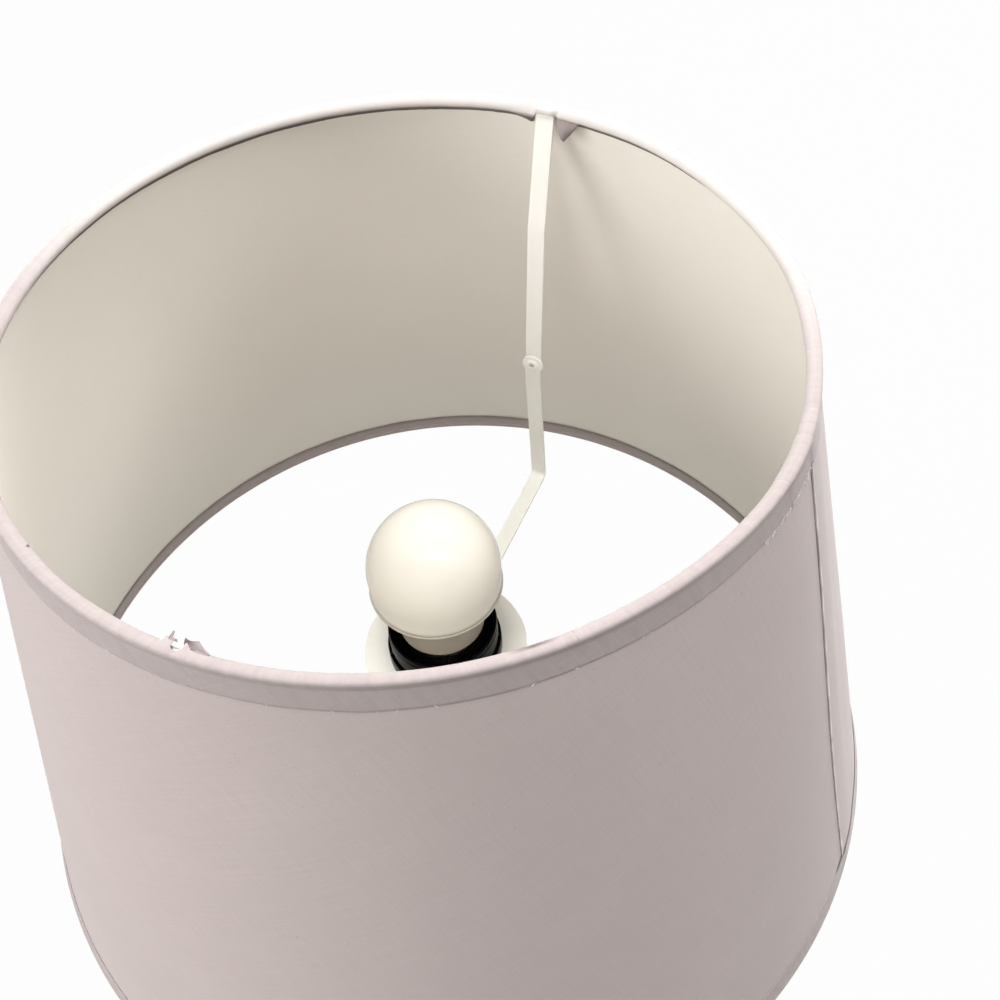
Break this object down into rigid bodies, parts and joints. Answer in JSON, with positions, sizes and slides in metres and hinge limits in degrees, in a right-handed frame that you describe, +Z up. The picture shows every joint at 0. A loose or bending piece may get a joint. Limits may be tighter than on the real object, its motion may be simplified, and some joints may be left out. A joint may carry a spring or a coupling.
{
  "type": "table lamp with a tilting shade",
  "caption": "Table lamp: tapered lilac-grey cloth shade that tilts on riveted steel strips, black lampholder, globe bulb, plain stem and round foot.",
  "frame": {"origin": "centre of the foot's underside, on the surface that the lamp stands on", "axes": "+Z up along the stem; -Y is the side that the picture is taken from"},
  "size_m": [0.301, 0.301, 0.427],
  "materials": {
    "cloth": "plain weave",
    "hem_cloth": "plain weave, glued",
    "liner_sheet": "smooth",
    "ring_wire": "drawn",
    "white_paint": "gloss",
    "black_gloss": "gloss",
    "contact_insulator": "matte",
    "brass": "plain",
    "opal": "gloss",
    "bulb_plastic": "satin",
    "board": "matte",
    "nickel": "satin",
    "black_glass": "gloss",
    "black_satin": "satin",
    "black_plastic": "satin",
    "cast_iron": "as cast",
    "felt": "felt"
  },
  "bodies": {
    "stand": {"yoke_arm_1": "white_paint", "yoke_arm_2": "white_paint", "pivot_rivet_1": "white_paint", "pivot_rivet_2": "white_paint", "carrier_disc": "white_paint", "holder_shell": "black_gloss", "collar_nut": "black_gloss", "holder_cap": "black_gloss", "contact_insulator": "contact_insulator", "centre_contact": "brass", "side_contact": "brass", "terminal_screw_1": "brass", "terminal_screw_2": "brass", "threaded_tube": "nickel", "foot_washer": "nickel", "foot_nut": "nickel", "foot_cover": "black_satin", "stem_tube": "black_satin", "seat_ring": "black_satin", "cord_gland": "black_plastic", "foot_weight": "cast_iron", "felt_pad": "felt"},
    "shade": {"shade_fabric": "cloth", "shade_liner": "liner_sheet", "top_hem": "hem_cloth", "bottom_hem": "hem_cloth", "top_ring": "ring_wire", "bottom_ring": "ring_wire", "hanger_1": "white_paint", "hanger_2": "white_paint"},
    "bulb_lift": {"bulb_tip": "nickel"},
    "bulb": {"bulb_globe": "opal", "bulb_housing": "bulb_plastic", "led_board": "board", "bulb_screw_cap": "nickel", "bulb_cap_insulator": "black_glass"}
  },
  "joints": [
    {"name": "shade_tilt", "type": "hinge", "parent": "stand", "child": "shade", "pos_m": [0, 0, 0.3355], "axis": [0.5446, 0.8387, 0], "range_deg": [-45, 45]},
    {"name": "bulb_rise", "type": "slide", "parent": "stand", "child": "bulb_lift", "axis": [0, 0, 1], "range_m": [0, 0.0146]},
    {"name": "bulb_turn", "type": "hinge", "parent": "bulb_lift", "child": "bulb", "pos_m": [0, 0, 0.28], "axis": [0, 0, 1], "range_deg": [0, 1440]}
  ],
  "couplings": [
    {"joint": "bulb_rise", "follows": "bulb_turn", "m_per_rad": 0.00057751}
  ]
}
